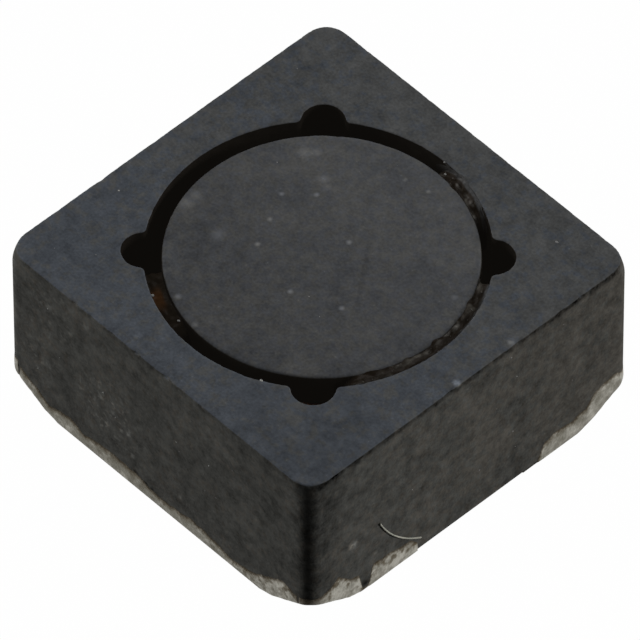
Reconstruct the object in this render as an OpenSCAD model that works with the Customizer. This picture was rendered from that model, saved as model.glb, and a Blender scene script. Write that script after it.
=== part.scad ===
// Shielded surface-mount power inductor.
// A ferrite drum, wound with enamelled copper wire, is glued inside a square
// ferrite ring. The ring's underside carries two plated terminals, and each end
// of the wire runs down a notch in the bore to the solder at its terminal.
// Millimetres, +Z up, origin on the board plane under the middle of the ring.

/* [Ferrite ring] */
// Side of the square ring
ring_side = 5.2; // [4.9:0.01:6]
// Height of the ring
ring_h = 2.465; // [2.3:0.005:3.2]
// Radius of the ring's upright corners
corner_r = 0.19; // [0.1:0.01:0.4]
// Chamfer along the ring's top edges
edge_break = 0.03; // [0.01:0.005:0.06]
// Diameter of the bore that takes the drum
bore_d = 4.11; // [3.95:0.01:4.3]

/* [Lead notches] */
// Radius of the half-round notches that open into the bore
notch_r = 0.265; // [0.24:0.005:0.3]
// Radius of the lips where a notch opens into the bore
lip_r = 0.08; // [0.03:0.01:0.1]

/* [Corner bevels] */
// Reach of a bottom corner's bevel along each edge
bevel_run = 0.75; // [0.4:0.01:0.85]
// Height of a bottom corner's bevel
bevel_rise = 0.41; // [0.2:0.01:0.8]

/* [Drum core] */
// Gap between the top flange and the bore
flange_gap = 0.17; // [0.12:0.005:0.25]
// Gap between the bottom flange and the bore, where the leads go down
lead_gap = 0.25; // [0.22:0.005:0.32]
// Thickness of each flange
flange_t = 0.45; // [0.3:0.01:0.5]
// Diameter of the post between the flanges
post_d = 1.9; // [1.5:0.01:2]
// Depth of the drum's top below the ring's top
drum_recess = 0.04; // [0:0.005:0.15]
// Height of the drum's underside above the ring's underside
drum_lift = 0.08; // [0.02:0.005:0.2]
// Chamfer around both flanges
flange_chamfer = 0.03; // [0.01:0.005:0.08]
// How far the drum was glued off the bore's axis, along X
drum_shift_x = 0.025; // [-0.06:0.005:0.06]
// How far the drum was glued off the bore's axis, along Y
drum_shift_y = 0.03; // [-0.06:0.005:0.06]

/* [Winding] */
// Diameter of the enamelled wire
wire_d = 0.28; // [0.2:0.01:0.3]
// Clearance between the wire and what it lies against
wire_gap = 0.02; // [0.01:0.005:0.04]
// Gap between neighbouring turns
turn_gap = 0.03; // [0.02:0.005:0.08]
// Bend radius of the leads, at the middle of the wire
bend_r = 0.25; // [0.2:0.01:0.28]
// Angle over which the wire climbs from the inner layer to the outer one
climb_angle = 90; // [70:5:120]

/* [Terminals] */
// Thickness of the plating
plating_t = 0.015; // [0.015:0.005:0.05]
// Width of each terminal on the underside
pad_w = 1.6; // [1.2:0.01:2]
// Height of the plating on the ring's sides
band_h = 0.2; // [0.1:0.01:0.4]
// Height of the plating around the bottom corners
corner_h = 0.52; // [0.45:0.01:0.9]
// Reach of that higher plating from each corner
corner_l = 0.7; // [0.3:0.01:0.9]

/* [Solder joints] */
// Height of the solder in a notch
solder_h = 0.36; // [0.2:0.01:0.4]
// Solder below the end of the wire
solder_floor = 0.08; // [0.05:0.01:0.15]
// Gap between the solder and the bottom flange
solder_gap = 0.06; // [0.03:0.005:0.1]
// Solder between the wire and the notch's wall
solder_wall = 0.04; // [0.02:0.005:0.08]

/* [Adhesive] */
// Where the beads lie around the gap, counted from +X
bead_angles = [79, 2, 244]; // [0:1:360]
// Angle that each bead covers
bead_spans = [28, 66, 34]; // [15:1:68]
// Height of each bead
bead_h = 0.22; // [0.1:0.01:0.3]
// Depth of a bead's top below the drum's top
bead_drop = 0.06; // [0.04:0.01:0.15]

/* [Hidden] */
$fn = 64;

ferrite_color = "#3f4145";
drum_color = "#424447";
copper_color = "#a8591f";
plating_color = "#a7a498";
solder_color = "#b5b3aa";
adhesive_color = "#3b2312";

// Cutters run this far past the faces that they cut
past = 1;
overall_h = plating_t + ring_h;
bore_r = bore_d / 2;
notch_angles = [45, 135, 225, 315];
start_notch = 225;
finish_notch = 45;

drum_shift = [drum_shift_x, drum_shift_y];
drum_z = plating_t + drum_lift;
drum_h = ring_h - drum_lift - drum_recess;
top_flange_r = bore_r - flange_gap;
bottom_flange_r = bore_r - lead_gap;
post_r = post_d / 2;

// The wire's end stands in its notch, with solder between it and the wall
lead_r = bore_r + notch_r - solder_wall - wire_d / 2;
lead_end_z = solder_floor;
inner_r = post_r + wire_gap + wire_d / 2;
outer_r = inner_r + wire_d + wire_gap;
pitch = wire_d + turn_gap;
window_z = drum_z + flange_t;
window_h = drum_h - 2 * flange_t;
low_z = window_z + wire_gap + wire_d / 2;
inner_turns = floor((window_h - wire_d - 2 * wire_gap) / pitch);
high_z = low_z + inner_turns * pitch;
wire_sides = 10;
turn_step = 12;
bend_steps = 5;

// Ferrite ring

function polar(r, angle) = [r * cos(angle), r * sin(angle)];

// Rectangle standing on the X axis, with its two top corners chamfered
module chamfered_rectangle(w, h, chamfer)
    polygon([
        [-w / 2, 0], [w / 2, 0], [w / 2, h - chamfer],
        [w / 2 - chamfer, h], [chamfer - w / 2, h], [-w / 2, h - chamfer],
    ]);

// Square block with round upright corners and chamfered top edges
module rounded_block(side, h, r, chamfer) {
    flat = side - 2 * r;
    for (turn = [0, 90])
        rotate([90, 0, turn])
            linear_extrude(flat, center = true)
                chamfered_rectangle(side, h, chamfer);
    for (x = [-flat / 2, flat / 2], y = [-flat / 2, flat / 2])
        translate([x, y, 0])
            rotate_extrude()
                polygon([[0, 0], [r, 0], [r, h - chamfer], [r - chamfer, h], [0, h]]);
}

// Cuts the sloping bevel off each bottom corner of a square block
module corner_bevels(side, run, rise) {
    reach = run / sqrt(2);
    corner = side / sqrt(2);
    for (angle = notch_angles)
        rotate([90, 0, angle])
            linear_extrude(side, center = true)
                polygon([
                    [corner + past, -past],
                    [corner - reach * (1 + past / rise), -past],
                    [corner + past, rise * (1 + past / reach)],
                ]);
}

// The ring before its bore is cut, with every outer face moved out by grow
module ring_blank(grow = 0) {
    bevel_slope = norm([sqrt(2) / bevel_run, 1 / bevel_rise]);
    spread = 1 + grow * (2 / bevel_run + 1 / bevel_rise - bevel_slope);
    side = ring_side + 2 * grow;
    translate([0, 0, plating_t - grow])
        difference() {
            rounded_block(side, ring_h + grow, corner_r + grow, edge_break);
            corner_bevels(side, bevel_run * spread, bevel_rise * spread);
        }
}

// Wedge that rounds one lip, between the bore, a notch on +X and a circle that
// touches both
module notch_lip() {
    x = (pow(bore_r + lip_r, 2) - pow(notch_r + lip_r, 2) + bore_r * bore_r) / (2 * bore_r);
    y = sqrt(pow(bore_r + lip_r, 2) - x * x);
    bore_side = atan2(-y, -x);
    notch_side = atan2(-y, bore_r - x);
    round = [for (k = [0 : bend_steps])
        [x, y] + polar(lip_r, bore_side + (notch_side - bore_side) * k / bend_steps)];
    polygon(concat([[bore_r - lip_r, 0]], round, [[bore_r + lip_r, 0]]));
}

module bore_outline() {
    circle(r = bore_r);
    for (angle = notch_angles)
        rotate(angle) {
            translate([bore_r, 0]) circle(r = notch_r);
            notch_lip();
            mirror([0, 1]) notch_lip();
        }
}

module bore_cutter()
    translate([0, 0, -past])
        linear_extrude(overall_h + 2 * past)
            bore_outline();

module shield_ring()
    color(ferrite_color)
        difference() {
            ring_blank();
            bore_cutter();
        }

// Drum core

module drum_core()
    color(drum_color)
        translate([drum_shift.x, drum_shift.y, drum_z])
            rotate_extrude()
                polygon([
                    [0, 0],
                    [bottom_flange_r - flange_chamfer, 0],
                    [bottom_flange_r, flange_chamfer],
                    [bottom_flange_r, flange_t],
                    [post_r, flange_t],
                    [post_r, drum_h - flange_t],
                    [top_flange_r, drum_h - flange_t],
                    [top_flange_r, drum_h - flange_chamfer],
                    [top_flange_r - flange_chamfer, drum_h],
                    [0, drum_h],
                ]);

// Winding, drawn about the drum's own axis

function at(r, angle, z) = [r * cos(angle), r * sin(angle), z];
function lead_place(angle) = polar(lead_r, angle) - drum_shift;
function lead_angle(angle) = atan2(lead_place(angle).y, lead_place(angle).x);

// Middle of the plan bend that takes a radial lead onto a coil of radius r, and
// the angle between the lead and the point where it joins that coil
function bend_x(r) = sqrt(pow(r + bend_r, 2) - bend_r * bend_r);
function join_angle(r) = atan2(bend_r, bend_x(r));

// A lead from its end in the notch up to the coil. side is 1 where it joins the
// coil ahead of the notch and -1 where it joins behind it
function lead_path(angle, r, z, side) =
    let (
        out = norm(lead_place(angle)),
        stop = 180 + join_angle(r),
        rise = [for (k = [0 : bend_steps])
            let (t = 90 * k / bend_steps)
            [out - bend_r + bend_r * cos(t), 0, z - bend_r + bend_r * sin(t)]],
        turn = [for (k = [0 : bend_steps])
            let (t = 270 + (stop - 270) * k / bend_steps)
            [bend_x(r) + bend_r * cos(t), side * bend_r * (1 + sin(t)), z]],
        flat = concat([[out, 0, lead_end_z]], rise, turn),
        a = lead_angle(angle)
    )
    [for (p = flat) [p.x * cos(a) - p.y * sin(a), p.x * sin(a) + p.y * cos(a), p.z]];

function reversed(list) = [for (i = [len(list) - 1 : -1 : 0]) list[i]];
function smooth(t) = t * t * (3 - 2 * t);
function between(from, to) = (to - from) - 360 * floor((to - from) / 360);

inner_from = lead_angle(start_notch) + join_angle(inner_r);
outer_from = inner_from + 360 * inner_turns + climb_angle;
outer_sweep = between(outer_from, lead_angle(finish_notch) - join_angle(outer_r))
    + 360 * (inner_turns - 1);
finish_z = high_z - pitch * outer_sweep / 360;

inner_steps = ceil(360 * inner_turns / turn_step);
climb_steps = ceil(climb_angle / turn_step);
outer_steps = ceil(outer_sweep / turn_step);

inner_layer = [for (k = [1 : inner_steps])
    let (t = k / inner_steps)
    at(inner_r, inner_from + 360 * inner_turns * t, low_z + (high_z - low_z) * t)];
climb = [for (k = [1 : climb_steps])
    let (t = k / climb_steps)
    at(inner_r + (outer_r - inner_r) * smooth(t), inner_from + climb_angle * t, high_z)];
outer_layer = [for (k = [1 : outer_steps - 1])
    let (t = k / outer_steps)
    at(outer_r, outer_from + outer_sweep * t, high_z + (finish_z - high_z) * t)];

wire_path = concat(
    lead_path(start_notch, inner_r, low_z, 1),
    inner_layer, climb, outer_layer,
    reversed(lead_path(finish_notch, outer_r, finish_z, -1))
);

function unit(v) = v / norm(v);
function heading(path, i) =
    unit(path[min(i + 1, len(path) - 1)] - path[max(i - 1, 0)]);
function across(v, along) = unit(v - (v * along) * along);

// One direction square to the path at each of its points, carried along it so
// that the wire doesn't twist
function carried(path) = [
    for (i = 0, v = across([1, 0, 0], heading(path, 0));
         i < len(path);
         i = i + 1, v = across(v, heading(path, min(i, len(path) - 1)))) v];

module swept_wire(path, d) {
    sides = carried(path);
    last = len(path) - 1;
    points = [for (i = [0 : last], k = [0 : wire_sides - 1])
        let (turn = 360 * k / wire_sides, v = sides[i], w = cross(heading(path, i), v))
        path[i] + d / 2 * (cos(turn) * v + sin(turn) * w)];
    walls = [for (i = [0 : last - 1], k = [0 : wire_sides - 1])
        let (a = i * wire_sides, next = (k + 1) % wire_sides)
        each [[a + k, a + wire_sides + k, a + wire_sides + next],
              [a + k, a + wire_sides + next, a + next]]];
    ends = [
        [for (k = [0 : wire_sides - 1]) k],
        [for (k = [wire_sides - 1 : -1 : 0]) last * wire_sides + k],
    ];
    polyhedron(points, concat(walls, ends));
}

module winding()
    color(copper_color)
        translate(drum_shift)
            swept_wire(wire_path, wire_d);

// Terminals

// The space that one terminal's plating may cover, on the side of the ring
// towards -Y
module plated_zone() {
    reach = ring_side / 2 + past;
    translate([-reach, -reach, -past])
        cube([2 * reach, past + pad_w, past + plating_t + band_h]);
    for (x = [-ring_side / 2, ring_side / 2])
        translate([x, -ring_side / 2, plating_t])
            cube(2 * [corner_l, corner_l, corner_h], center = true);
}

module terminal(turn)
    color(plating_color)
        difference() {
            intersection() {
                ring_blank(plating_t);
                rotate(turn) plated_zone();
            }
            ring_blank();
            bore_cutter();
        }

module start_terminal() terminal(0);
module finish_terminal() terminal(180);

// Solder joints

module solder_joint(angle)
    color(solder_color)
        difference() {
            rotate(angle)
                translate([bore_r, 0, 0])
                    cylinder(r = notch_r, h = plating_t + solder_h);
            translate([drum_shift.x, drum_shift.y, -past])
                cylinder(r = bottom_flange_r + solder_gap, h = overall_h);
            rotate(angle)
                translate([lead_r, 0, lead_end_z])
                    cylinder(d = wire_d, h = overall_h);
        }

module start_solder() solder_joint(start_notch);
module finish_solder() solder_joint(finish_notch);

// Adhesive beads

module sector(angle, span, r)
    polygon(concat([[0, 0]], [for (side = [-1, 0, 1]) polar(r, angle + side * span / 2)]));

module adhesive_bead(angle, span)
    color(adhesive_color)
        translate([0, 0, drum_z + drum_h - bead_drop - bead_h])
            linear_extrude(bead_h)
                intersection() {
                    difference() {
                        circle(r = bore_r);
                        translate(drum_shift) circle(r = top_flange_r);
                    }
                    sector(angle, span, bore_d);
                }

module adhesive_bead_1() adhesive_bead(bead_angles[0], bead_spans[0]);
module adhesive_bead_2() adhesive_bead(bead_angles[1], bead_spans[1]);
module adhesive_bead_3() adhesive_bead(bead_angles[2], bead_spans[2]);

shield_ring();
drum_core();
winding();
start_terminal();
finish_terminal();
start_solder();
finish_solder();
adhesive_bead_1();
adhesive_bead_2();
adhesive_bead_3();
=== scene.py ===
# %% [markdown]
# # A shielded inductor, dressed for its portrait
# The part is a square ring of sintered ferrite, five millimetres across, with a wound ferrite drum
# glued into its bore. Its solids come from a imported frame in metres. This lesson keeps that frame
# as it is and builds the surfaces that the eye sees: worn edges, grain, tin, resin and dust.
# Shapes are drawn in millimetres, because that is how such a part is dimensioned, and each mesh is
# scaled to metres once, when it becomes an object.

# %% Load the frame and keep its box
import math
import random

import bmesh
import bpy
from mathutils import Matrix, Vector, kdtree, noise


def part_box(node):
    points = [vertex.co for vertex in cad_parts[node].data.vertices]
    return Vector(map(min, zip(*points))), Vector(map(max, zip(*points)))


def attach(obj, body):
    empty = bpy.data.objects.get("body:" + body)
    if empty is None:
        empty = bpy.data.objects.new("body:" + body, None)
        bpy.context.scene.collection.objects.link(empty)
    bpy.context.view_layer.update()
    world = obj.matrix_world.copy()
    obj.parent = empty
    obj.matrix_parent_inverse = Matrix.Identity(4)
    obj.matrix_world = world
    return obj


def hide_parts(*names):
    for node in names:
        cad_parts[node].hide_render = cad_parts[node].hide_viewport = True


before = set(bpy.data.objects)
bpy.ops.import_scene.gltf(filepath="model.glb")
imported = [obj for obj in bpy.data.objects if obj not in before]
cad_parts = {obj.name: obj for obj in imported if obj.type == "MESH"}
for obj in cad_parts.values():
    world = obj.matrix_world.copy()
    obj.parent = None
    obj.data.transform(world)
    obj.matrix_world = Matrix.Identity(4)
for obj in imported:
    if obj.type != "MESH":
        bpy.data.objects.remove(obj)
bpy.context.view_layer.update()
MM = 0.001
UP = Vector((0, 0, 1))
print("frame nodes:", ", ".join(sorted(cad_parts)))


# %% Read the driving sizes from the frame
def node_box(node):
    """Lowest and highest corner of a node, in millimetres."""
    low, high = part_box(node)
    return low / MM, high / MM


ring_low, ring_high = node_box("shield_ring")
drum_low, drum_high = node_box("drum_core")
HALF_SIDE = (ring_high.x - ring_low.x) / 2
RING_FLOOR = ring_low.z
RING_TOP = ring_high.z
DRUM_AXIS = (drum_low + drum_high) / 2
DRUM_R = (drum_high.x - drum_low.x) / 2
DRUM_FLOOR = drum_low.z
DRUM_TOP = drum_high.z
print(f"ring {2 * HALF_SIDE:.2f} mm square, top at {RING_TOP:.3f}; drum radius {DRUM_R:.3f}")

# %% [markdown]
# ## Camera
# The photograph was taken from far away with a long lens, over the corner between two sides. A lens
# that long shows almost no perspective, so the camera is placed by its direction and distance, and
# a small sideways aim puts the block where the picture has it.

# %% Camera
PICTURE_PX = 640
FOCAL_PX = 16700
CAMERA_DISTANCE = 196.95
AZIMUTH = math.radians(46.77)
ELEVATION = math.radians(49.66)
ROLL = math.radians(-0.15)
AIM_RIGHT = 0.0166
AIM_UP = 0.019

back = Vector((
    math.sin(AZIMUTH) * math.cos(ELEVATION),
    -math.cos(AZIMUTH) * math.cos(ELEVATION),
    math.sin(ELEVATION),
))
level_right = Vector((math.cos(AZIMUTH), math.sin(AZIMUTH), 0))
level_up = back.cross(level_right)
right = math.cos(ROLL) * level_right + math.sin(ROLL) * level_up
up = math.cos(ROLL) * level_up - math.sin(ROLL) * level_right
aim = Vector((0, 0, RING_TOP / 2)) + AIM_RIGHT * right + AIM_UP * up

lens = bpy.data.cameras.new("long_lens")
lens.sensor_width = 36
lens.lens = FOCAL_PX * lens.sensor_width / PICTURE_PX
lens.clip_start = 0.01
lens.clip_end = 2
camera = bpy.data.objects.new("camera", lens)
axes = Matrix((right, up, back)).transposed()
camera.matrix_world = Matrix.Translation((aim + CAMERA_DISTANCE * back) * MM) @ axes.to_4x4()
scene = bpy.context.scene
scene.collection.objects.link(camera)
scene.camera = camera
scene.view_settings.view_transform = "Standard"
print(f"camera {CAMERA_DISTANCE:.0f} mm away with a {lens.lens:.0f} mm lens")

# %% [markdown]
# ## Shader sums as Python
# A material is a graph of nodes. Wiring one by hand hides the idea behind the plumbing, so a small
# class wraps an output socket and turns `+`, `-` and `*` into Math nodes. Everything else is made
# by one method that takes the node's type, its settings and its inputs.

# %% A socket that can be used in sums
class Wire:
    """An output socket of a graph. Each sum that it takes part in adds one Math node."""

    def __init__(self, graph, output):
        self.graph = graph
        self.output = output

    def math(self, operation, first, second):
        settings = {"operation": operation}
        return self.graph.node("ShaderNodeMath", settings, {0: first, 1: second})

    def __add__(self, other):
        return self.math("ADD", self, other)

    __radd__ = __add__

    def __sub__(self, other):
        return self.math("SUBTRACT", self, other)

    def __rsub__(self, other):
        return self.math("SUBTRACT", other, self)

    def __mul__(self, other):
        return self.math("MULTIPLY", self, other)

    __rmul__ = __mul__

    def step(self, low, high):
        """0 below low and 1 above high, with a soft rise between them."""
        settings = {"interpolation_type": "SMOOTHSTEP"}
        return self.graph.node("ShaderNodeMapRange", settings, {0: self, 1: low, 2: high})


print("sockets can be added, subtracted, multiplied and stepped")


# %% A graph that makes the nodes
class Graph:
    """The node tree of one material or of the world."""

    def __init__(self, owner):
        owner.use_nodes = True
        self.tree = owner.node_tree
        self.tree.nodes.clear()

    def node(self, kind, settings=None, inputs=None, output=0):
        made = self.tree.nodes.new(kind)
        for name, value in (settings or {}).items():
            setattr(made, name, value)
        for name, value in (inputs or {}).items():
            if isinstance(value, Wire):
                self.tree.links.new(value.output, made.inputs[name])
            else:
                made.inputs[name].default_value = value
        return Wire(self, made.outputs[output])

    def vector(self, operation, inputs, output=0):
        """A sum on vectors."""
        return self.node("ShaderNodeVectorMath", {"operation": operation}, inputs, output)

    def coordinate(self, place, axis):
        """The X, Y or Z of a place."""
        return self.node("ShaderNodeSeparateXYZ", {}, {0: place}, axis)

    def millimetres(self):
        """Object coordinates in millimetres."""
        metres = self.node("ShaderNodeTexCoord", output="Object")
        return self.vector("SCALE", {0: metres, "Scale": 1 / MM})

    def clouds(self, place, size, detail=2.0, rough=0.5):
        """Noise from 0 to 1 whose blotches are about size millimetres across."""
        inputs = {"Vector": place, "Scale": 1 / size, "Detail": detail, "Roughness": rough}
        return self.node("ShaderNodeTexNoise", {}, inputs)

    def mix(self, share, first, second):
        """A colour between two, by share."""
        inputs = {"Factor": share, 6: first, 7: second}
        return self.node("ShaderNodeMix", {"data_type": "RGBA"}, inputs, 2)

    def brighten(self, colour, factor):
        """A colour times a number."""
        return self.vector("SCALE", {0: colour, "Scale": factor})

    def bump(self, height, depth, below=None):
        """A normal that rises by depth millimetres where height goes from 0 to 1."""
        inputs = {"Height": height, "Distance": depth * MM, "Strength": 1.0}
        if below is not None:
            inputs["Normal"] = below
        return self.node("ShaderNodeBump", {}, inputs)

    def surface(self, shader, output="ShaderNodeOutputMaterial"):
        made = self.tree.nodes.new(output)
        self.tree.links.new(shader.output, made.inputs["Surface"])

    def principled(self, inputs):
        self.surface(self.node("ShaderNodeBsdfPrincipled", {}, inputs))


def new_material(name):
    """A material, its graph, and the place on the part in millimetres."""
    material = bpy.data.materials.new(name)
    graph = Graph(material)
    return material, graph, graph.millimetres()


print("graphs make nodes, clouds, mixes and bumps")


# %% Helpers for places on the part
def facing_up(graph):
    """1 on level tops and 0 on walls, by the surface's own direction."""
    normal = graph.node("ShaderNodeTexCoord", output="Normal")
    return graph.coordinate(normal, "Z").step(0.4, 0.8)


def from_axis(graph, place):
    """Distance from the part's upright axis, in millimetres."""
    flat = graph.vector("MULTIPLY", {0: place, 1: (1, 1, 0)})
    return graph.vector("LENGTH", {0: flat}, "Value")


def measure(graph, place, start, way):
    """How far a place lies from a start point, counted along one direction."""
    offset = graph.vector("SUBTRACT", {0: place, 1: start})
    return graph.vector("DOT_PRODUCT", {0: offset, 1: way}, "Value")


def soft_spot(graph, place, centre, reach):
    """1 at a point, falling to 0 at a distance of reach millimetres."""
    away = graph.vector("DISTANCE", {0: place, 1: centre}, "Value")
    return 1 - away.step(0.0, reach)


print("shader helpers ready")

# %% [markdown]
# ## Stage
# The picture is a catalogue shot: a white ground, two soft boxes at the sides and one overhead. The
# side boxes leave the corner that faces the camera in the dark, which is what draws the block's
# front edge. The ground shows white to the camera through the Light Path node, and a share of it
# stays an ordinary lit surface, so that the block keeps its shadow. Below the bore it doesn't show
# white at all, because no light from above would get through the narrow gap and back.

# %% Ground and background
GROUND_HALF = 400
GROUND_GLOW = 0.993
GROUND_DROP = 0.01
GROUND_GREY = (0.10, 0.10, 0.10, 1)
UNLIT_REACH = 2.4
WHITE = (1, 1, 1, 1)


def seen_directly(graph):
    """1 for rays that show the ground itself: straight, mirrored or through glass."""
    rays = [graph.node("ShaderNodeLightPath", output=name)
            for name in ("Is Camera Ray", "Is Glossy Ray", "Is Transmission Ray")]
    return (rays[0] + rays[1] + rays[2]).step(0.0, 1.0)


ground_material, graph, place = new_material("ground")
lit = graph.node("ShaderNodeBsdfDiffuse", {}, {"Color": GROUND_GREY})
glow = graph.node("ShaderNodeEmission", {}, {"Color": WHITE, "Strength": 1.0})
outside = from_axis(graph, place).step(UNLIT_REACH, UNLIT_REACH + 0.1)
share = seen_directly(graph) * outside * GROUND_GLOW
graph.surface(graph.node("ShaderNodeMixShader", {}, {0: share, 1: lit, 2: glow}))

bm = bmesh.new()
bmesh.ops.create_grid(bm, x_segments=1, y_segments=1, size=GROUND_HALF * MM)
bmesh.ops.translate(bm, verts=bm.verts, vec=(0, 0, -GROUND_DROP * MM))
ground_mesh = bpy.data.meshes.new("ground")
bm.to_mesh(ground_mesh)
bm.free()
ground_mesh.materials.append(ground_material)
ground = bpy.data.objects.new("ground", ground_mesh)
scene.collection.objects.link(ground)

SKY = 0.09
world = bpy.data.worlds.new("studio")
scene.world = world
graph = Graph(world)
direct = seen_directly(graph)
strength = direct + (1 - direct) * SKY
sky = graph.node("ShaderNodeBackground", {}, {"Color": WHITE, "Strength": strength})
graph.surface(sky, "ShaderNodeOutputWorld")
print("ground and background are white to the camera")

# %% Lamps
LAMP_DISTANCE = 220
SIDE_BOX = 70
SIDE_RISE = 0.18
TOP_BOX = 120


def soft_box(name, direction, size, power):
    """A square lamp that looks at the block from a direction."""
    light = bpy.data.lights.new(name, "AREA")
    light.size = size * MM
    light.energy = power
    lamp = bpy.data.objects.new(name, light)
    towards = direction.normalized()
    lamp.location = LAMP_DISTANCE * MM * towards
    lamp.rotation_mode = "QUATERNION"
    lamp.rotation_quaternion = towards.to_track_quat("Z", "Y")
    scene.collection.objects.link(lamp)
    print(f"lamp {name}: {power} W")


to_camera = Vector((math.sin(AZIMUTH), -math.cos(AZIMUTH), 0))
soft_box("left_box", -level_right - 0.33 * to_camera + SIDE_RISE * UP, SIDE_BOX, 0.54)
soft_box("right_box", level_right + SIDE_RISE * UP, SIDE_BOX, 0.55)
soft_box("top_box", UP - 0.45 * to_camera, TOP_BOX, 0.35)

# %% [markdown]
# ## Ferrite
# Sintered ferrite is a dark ceramic. Its pressed top is a cool grey and its sides, which slid along
# the die, are browner. Nothing on it is one flat colour: there are clouds of tone, a fine grain and
# a few pale grains. The top and the sides share one material, told apart by the surface's own
# direction, so that the colour stays with the part when it is turned. The walls of the gap are painted
# nearly black, as painted shade for the deep, narrow gap. What little light they send out has bounced about
# inside, and a faint painted glow stands for it.

# %% Ferrite material
SIDE_BROWN = (0.059, 0.055, 0.048, 1)
SIDE_GREY = (0.054, 0.054, 0.050, 1)
# Painted shade and painted glow: the walls inside the gap get a near-black colour for the shade that falls
# there, and a faint glow for the light bounced about in it.
PAINTED_GAP_SHADE = (0.006, 0.005, 0.004, 1)
GAP_GLOW = (0.0038, 0.0033, 0.0027, 1)
BLACK = (0, 0, 0, 1)
BORE_REACH = 2.36
PALE_GRAINS = 0.5
PATCH_SIZE = 0.55
TONE_SIZE = 0.15
TINT_SIZE = 0.09
GRAIN_SIZE = 0.035


def ferrite(name, cool, warm, lean, thaw, calm, marks):
    """Ferrite with a cool and a warm top colour. lean brightens it along +Y as a painted gradient of light,
    thaw warms it that way as a painted tint of the light, calm evens out the clouds on its top, and marks
    adds blemishes and painted shade."""
    material, graph, place = new_material(name)
    patch = graph.clouds(place, PATCH_SIZE)
    tone = graph.clouds(place, TONE_SIZE, 3.0, 0.55)
    grain = graph.clouds(place, GRAIN_SIZE)
    tint = graph.clouds(place, TINT_SIZE)
    top = facing_up(graph)
    along = graph.coordinate(place, "Y")
    # Painted tint of the light: thaw warms the colour steadily along +Y.
    warmth = (along * thaw + tint * 0.7 + patch * 0.3).step(0.4, 0.6)
    side_colour = graph.mix(warmth, SIDE_GREY, SIDE_BROWN)
    top_colour = graph.mix(warmth, cool, warm)
    # inside marks the walls within the bore, which get the painted shade and the painted glow.
    inside = (1 - top) * (1 - from_axis(graph, place).step(BORE_REACH, BORE_REACH + 0.1))
    colour = graph.mix(inside, graph.mix(top, side_colour, top_colour), PAINTED_GAP_SHADE)
    clouds = (patch - 0.5) * (0.6 - top * 0.25) + (tone - 0.5) * (1.45 - top * (0.3 + calm))
    # Painted light: lean brightens the colour steadily along +Y.
    shade = along * lean + 1.005 + clouds + (grain - 0.5) * 0.7
    pale = grain.step(0.72, 0.82) * PALE_GRAINS
    graph.principled({
        "Base Color": graph.brighten(colour, shade + pale + marks(graph, place)),
        "Roughness": 0.6 + (grain - 0.5) * 0.3,
        "Specular IOR Level": 0.0,
        # Painted glow inside the gap, for the light bounced about there.
        "Emission Color": graph.mix(inside, BLACK, GAP_GLOW),
        "Emission Strength": 1.0,
        "Normal": graph.bump(tone, 0.005, graph.bump(grain, 0.003)),
    })
    return material


print(f"ferrite has clouds of {PATCH_SIZE} and {TONE_SIZE} mm and grains of {GRAIN_SIZE} mm")

# %% Where the blemishes are
# Each row holds two coordinates on its face, then the reach and the strength of a soft spot.
SCUFFED = [(-0.85, 0.95, 0.9, 1.2), (-1.85, 1.85, 0.8, 0.6), (-2.05, 0.95, 0.5, 0.7)]
RIGHT_SMUDGES = [
    (-1.90, 0.97, 0.10, 2.0), (-1.55, 0.53, 0.06, 1.0), (-1.68, 0.12, 0.14, -0.6),
    (-0.21, 2.42, 0.07, -0.5), (0.66, 2.41, 0.08, -0.5),
]
FRONT_SMUDGES = [
    (-0.38, 0.27, 0.07, -0.7), (-0.22, 0.21, 0.06, -0.7), (-0.10, 0.20, 0.06, -0.5),
    (-1.86, 2.02, 0.09, 0.7), (-1.62, 2.32, 0.07, 0.6), (-1.50, 1.84, 0.07, 0.6), (-1.21, 2.21, 0.10, 0.4),
    (-2.17, 1.00, 0.06, 0.5), (-1.93, 0.97, 0.12, 0.5), (-0.43, 0.53, 0.06, 1.2), (-0.50, 0.86, 0.06, 1.4),
    (-0.63, 0.83, 0.06, 0.8), (-0.78, 1.03, 0.06, 0.9), (-0.97, 1.14, 0.07, 0.7), (0.38, 0.48, 0.06, 0.7),
]
# On the top, the wide dark spot at (2.00, -2.00) is painted shade over the front corner. The other spots
# are pale smudges.
TOP_SMUDGES_AND_SHADE = [
    (2.56, -0.20, 0.08, 1.6), (2.54, 0.70, 0.07, 0.8), (2.48, -0.55, 0.22, 0.15), (2.50, -1.05, 0.20, 0.12),
    (2.00, -2.00, 1.20, -0.20), (-0.53, -2.40, 0.08, 0.4),
]
DRUM_SMUDGES = [
    (-0.70, 0.63, 0.050, 1.3), (-0.99, 0.34, 0.050, 1.1), (-0.80, -0.03, 0.050, 1.1),
    (-0.62, -0.40, 0.050, 1.3), (0.10, 0.40, 0.052, 1.3), (0.18, -0.62, 0.052, 1.4),
    (0.78, -0.36, 0.050, 1.4), (0.17, 1.62, 0.045, 0.8), (-0.15, 1.55, 0.045, 0.6),
    (1.57, 0.72, 0.060, 0.7), (-1.05, -0.62, 0.150, 0.6), (-1.66, -0.56, 0.130, 0.7),
    (-1.68, -0.40, 0.120, 0.6), (-1.28, 0.98, 0.130, 0.7), (-1.18, 1.08, 0.100, 0.5),
    (-0.82, 0.85, 0.110, 0.6), (-0.70, 0.80, 0.080, 0.4), (-0.67, -1.63, 0.065, 0.9),
    (-0.22, -1.78, 0.065, 0.8), (-1.20, -1.28, 0.180, 0.25), (-1.31, -1.18, 0.130, 0.2),
]
SCRATCH_FROM = Vector((0.16, 0.71, DRUM_TOP))
SCRATCH_TO = Vector((0.96, -0.30, DRUM_TOP))
SCRATCH_HALF = 0.04
SCRATCH_FADE = 0.2


def on_right(rows):
    """Puts the right-hand wall's X into rows that start with Y."""
    return [(HALF_SIDE, *row) for row in rows]


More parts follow.
